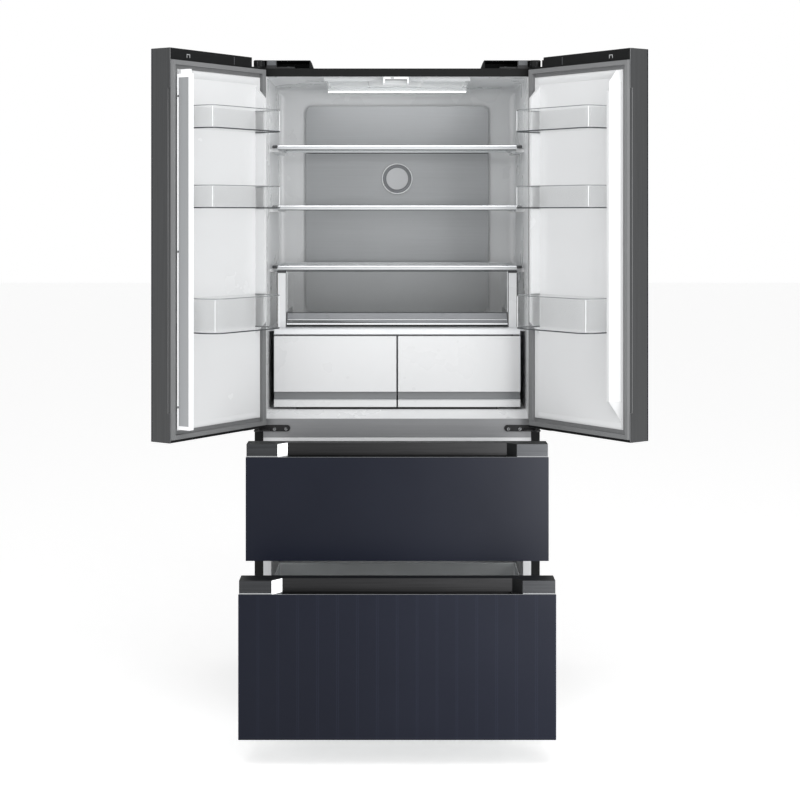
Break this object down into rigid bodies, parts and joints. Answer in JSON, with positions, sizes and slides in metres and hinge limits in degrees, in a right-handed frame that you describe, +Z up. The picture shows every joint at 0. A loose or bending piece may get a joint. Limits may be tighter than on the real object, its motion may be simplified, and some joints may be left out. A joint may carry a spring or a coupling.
{
  "type": "french door refrigerator",
  "caption": "Tall refrigerator with side-by-side hinged doors over full-width freezer drawers, with shelves, bins, crispers and a folding centre flap.",
  "frame": {"origin": "on the floor, below the centre of the cabinet without its doors", "axes": "+X to the right seen from the front, +Z up, the front with the doors faces -Y"},
  "size_m": [1.3534, 1.075, 1.898],
  "materials": {
    "shell_paint": "satin dark grey paint",
    "zinc_sheet": "plain light grey sheet",
    "foam": "matt closed foam",
    "liner_white": "satin white",
    "rail_grey": "fine horizontal brushing",
    "panel_brushed": "fine horizontal brushing",
    "filter_grey": "satin",
    "lamp_lens": "diffusing, lit from behind",
    "guide_white": "satin",
    "shelf_glass": "clear",
    "shelf_trim": "satin grey with a bright line",
    "pillar_white": "satin white",
    "cover_white": "satin",
    "black_plastic": "fine grain",
    "hinge_steel": "black coating",
    "screw_steel": "bright",
    "chassis_steel": "matt coating",
    "compressor_black": "gloss black",
    "coil_metal": "bare fins",
    "fan_plastic": "matt",
    "roller_plastic": "matt",
    "door_glass": "dark blue coated glass",
    "door_rim": "satin grey",
    "door_liner": "satin white",
    "seal_grey": "soft",
    "bin_clear": "clear moulding",
    "flap_white": "satin",
    "flap_grey": "brushed",
    "handle_dark": "dark fine brushing",
    "drawer_panel": "satin white",
    "basket_clear": "translucent moulding",
    "slide_zinc": "zinc plated",
    "crisper_white": "satin white front",
    "deli_clear": "clear moulding"
  },
  "bodies": {
    "cabinet": {"outer_shell": "shell_paint", "back_cover": "zinc_sheet", "insulation": "foam", "fridge_liner": "liner_white", "freezer_liner": "liner_white", "front_rails": "rail_grey", "cooling_panel": "panel_brushed", "air_filter": "filter_grey", "ceiling_lamp": "lamp_lens", "mullion_guide": "guide_white", "shelf_glass": "shelf_glass", "shelf_frames": "shelf_trim", "deli_frame": "pillar_white", "crisper_cover": "cover_white", "hinge_covers": "black_plastic", "door_hinges": "hinge_steel", "hinge_screws": "screw_steel", "base_frame": "chassis_steel", "kick_plate": "black_plastic", "machine_cover": "zinc_sheet", "compressor": "compressor_black", "condenser": "coil_metal", "evaporator": "coil_metal", "drawer_channels": "slide_zinc"},
    "condenser_fan": {"condenser_fan": "fan_plastic"},
    "evaporator_fan": {"evaporator_fan": "fan_plastic"},
    "rear_rollers": {"rear_rollers": "roller_plastic"},
    "left_foot": {"left_foot": "roller_plastic"},
    "right_foot": {"right_foot": "roller_plastic"},
    "left_door": {"left_door_glass": "door_glass", "left_door_frame": "door_rim", "left_door_caps": "black_plastic", "left_door_liner": "door_liner", "left_door_gasket": "seal_grey", "left_door_bins": "bin_clear"},
    "right_door": {"right_door_glass": "door_glass", "right_door_frame": "door_rim", "right_door_caps": "black_plastic", "right_door_liner": "door_liner", "right_door_gasket": "seal_grey", "right_door_bins": "bin_clear"},
    "mullion": {"mullion_body": "flap_white", "mullion_plate": "flap_grey"},
    "upper_drawer": {"upper_drawer_glass": "door_glass", "upper_drawer_handle": "handle_dark", "upper_drawer_panel": "drawer_panel", "upper_drawer_gasket": "seal_grey", "upper_drawer_basket": "basket_clear", "upper_drawer_slides": "slide_zinc"},
    "upper_mid_slides": {"upper_mid_slides": "slide_zinc"},
    "lower_drawer": {"lower_drawer_glass": "door_glass", "lower_drawer_handle": "handle_dark", "lower_drawer_panel": "drawer_panel", "lower_drawer_gasket": "seal_grey", "lower_drawer_basket": "basket_clear", "lower_drawer_slides": "slide_zinc"},
    "lower_mid_slides": {"lower_mid_slides": "slide_zinc"},
    "left_crisper": {"left_crisper": "crisper_white"},
    "right_crisper": {"right_crisper": "crisper_white"},
    "deli_drawer": {"deli_drawer": "deli_clear"}
  },
  "joints": [
    {"name": "left_door_hinge", "type": "hinge", "parent": "cabinet", "child": "left_door", "pos_m": [-0.4048, -0.3166, 1.35], "axis": [0, 0, -1], "range_deg": [-124, 11]},
    {"name": "right_door_hinge", "type": "hinge", "parent": "cabinet", "child": "right_door", "pos_m": [0.4048, -0.3166, 1.35], "axis": [0, 0, 1], "range_deg": [-127, 8]},
    {"name": "mullion_hinge", "type": "hinge", "parent": "left_door", "child": "mullion", "pos_m": [-0.59199, -0.6551, 1.35], "axis": [0, 0, 1], "range_deg": [-90, 0]},
    {"name": "upper_drawer_slide", "type": "slide", "parent": "cabinet", "child": "upper_drawer", "axis": [0, -1, 0], "range_m": [-0.211, 0.239]},
    {"name": "upper_mid_slide", "type": "slide", "parent": "cabinet", "child": "upper_mid_slides", "axis": [0, -1, 0], "range_m": [-0.1055, 0.1195]},
    {"name": "lower_drawer_slide", "type": "slide", "parent": "cabinet", "child": "lower_drawer", "axis": [0, -1, 0], "range_m": [-0.427, 0.023]},
    {"name": "lower_mid_slide", "type": "slide", "parent": "cabinet", "child": "lower_mid_slides", "axis": [0, -1, 0], "range_m": [-0.2135, 0.0115]},
    {"name": "left_crisper_slide", "type": "slide", "parent": "cabinet", "child": "left_crisper", "axis": [0, -1, 0], "range_m": [0, 0.33]},
    {"name": "right_crisper_slide", "type": "slide", "parent": "cabinet", "child": "right_crisper", "axis": [0, -1, 0], "range_m": [0, 0.33]},
    {"name": "deli_drawer_slide", "type": "slide", "parent": "cabinet", "child": "deli_drawer", "axis": [0, -1, 0], "range_m": [0, 0.28]},
    {"name": "condenser_fan_spin", "type": "hinge", "parent": "cabinet", "child": "condenser_fan", "pos_m": [0.04, 0.203, 0.15], "axis": [1, 0, 0], "continuous": true},
    {"name": "evaporator_fan_spin", "type": "hinge", "parent": "cabinet", "child": "evaporator_fan", "pos_m": [0, 0.155, 0.722], "axis": [0, -1, 0], "continuous": true},
    {"name": "rear_roller_spin", "type": "hinge", "parent": "cabinet", "child": "rear_rollers", "pos_m": [0, 0.235, 0.022], "axis": [1, 0, 0], "continuous": true},
    {"name": "left_foot_turn", "type": "hinge", "parent": "cabinet", "child": "left_foot", "pos_m": [-0.385, -0.245, 0.02], "axis": [0, 0, 1], "continuous": true},
    {"name": "right_foot_turn", "type": "hinge", "parent": "cabinet", "child": "right_foot", "pos_m": [0.385, -0.245, 0.02], "axis": [0, 0, 1], "continuous": true}
  ],
  "couplings": [
    {"joint": "upper_mid_slide", "follows": "upper_drawer_slide", "ratio": 0.5},
    {"joint": "lower_mid_slide", "follows": "lower_drawer_slide", "ratio": 0.5}
  ]
}
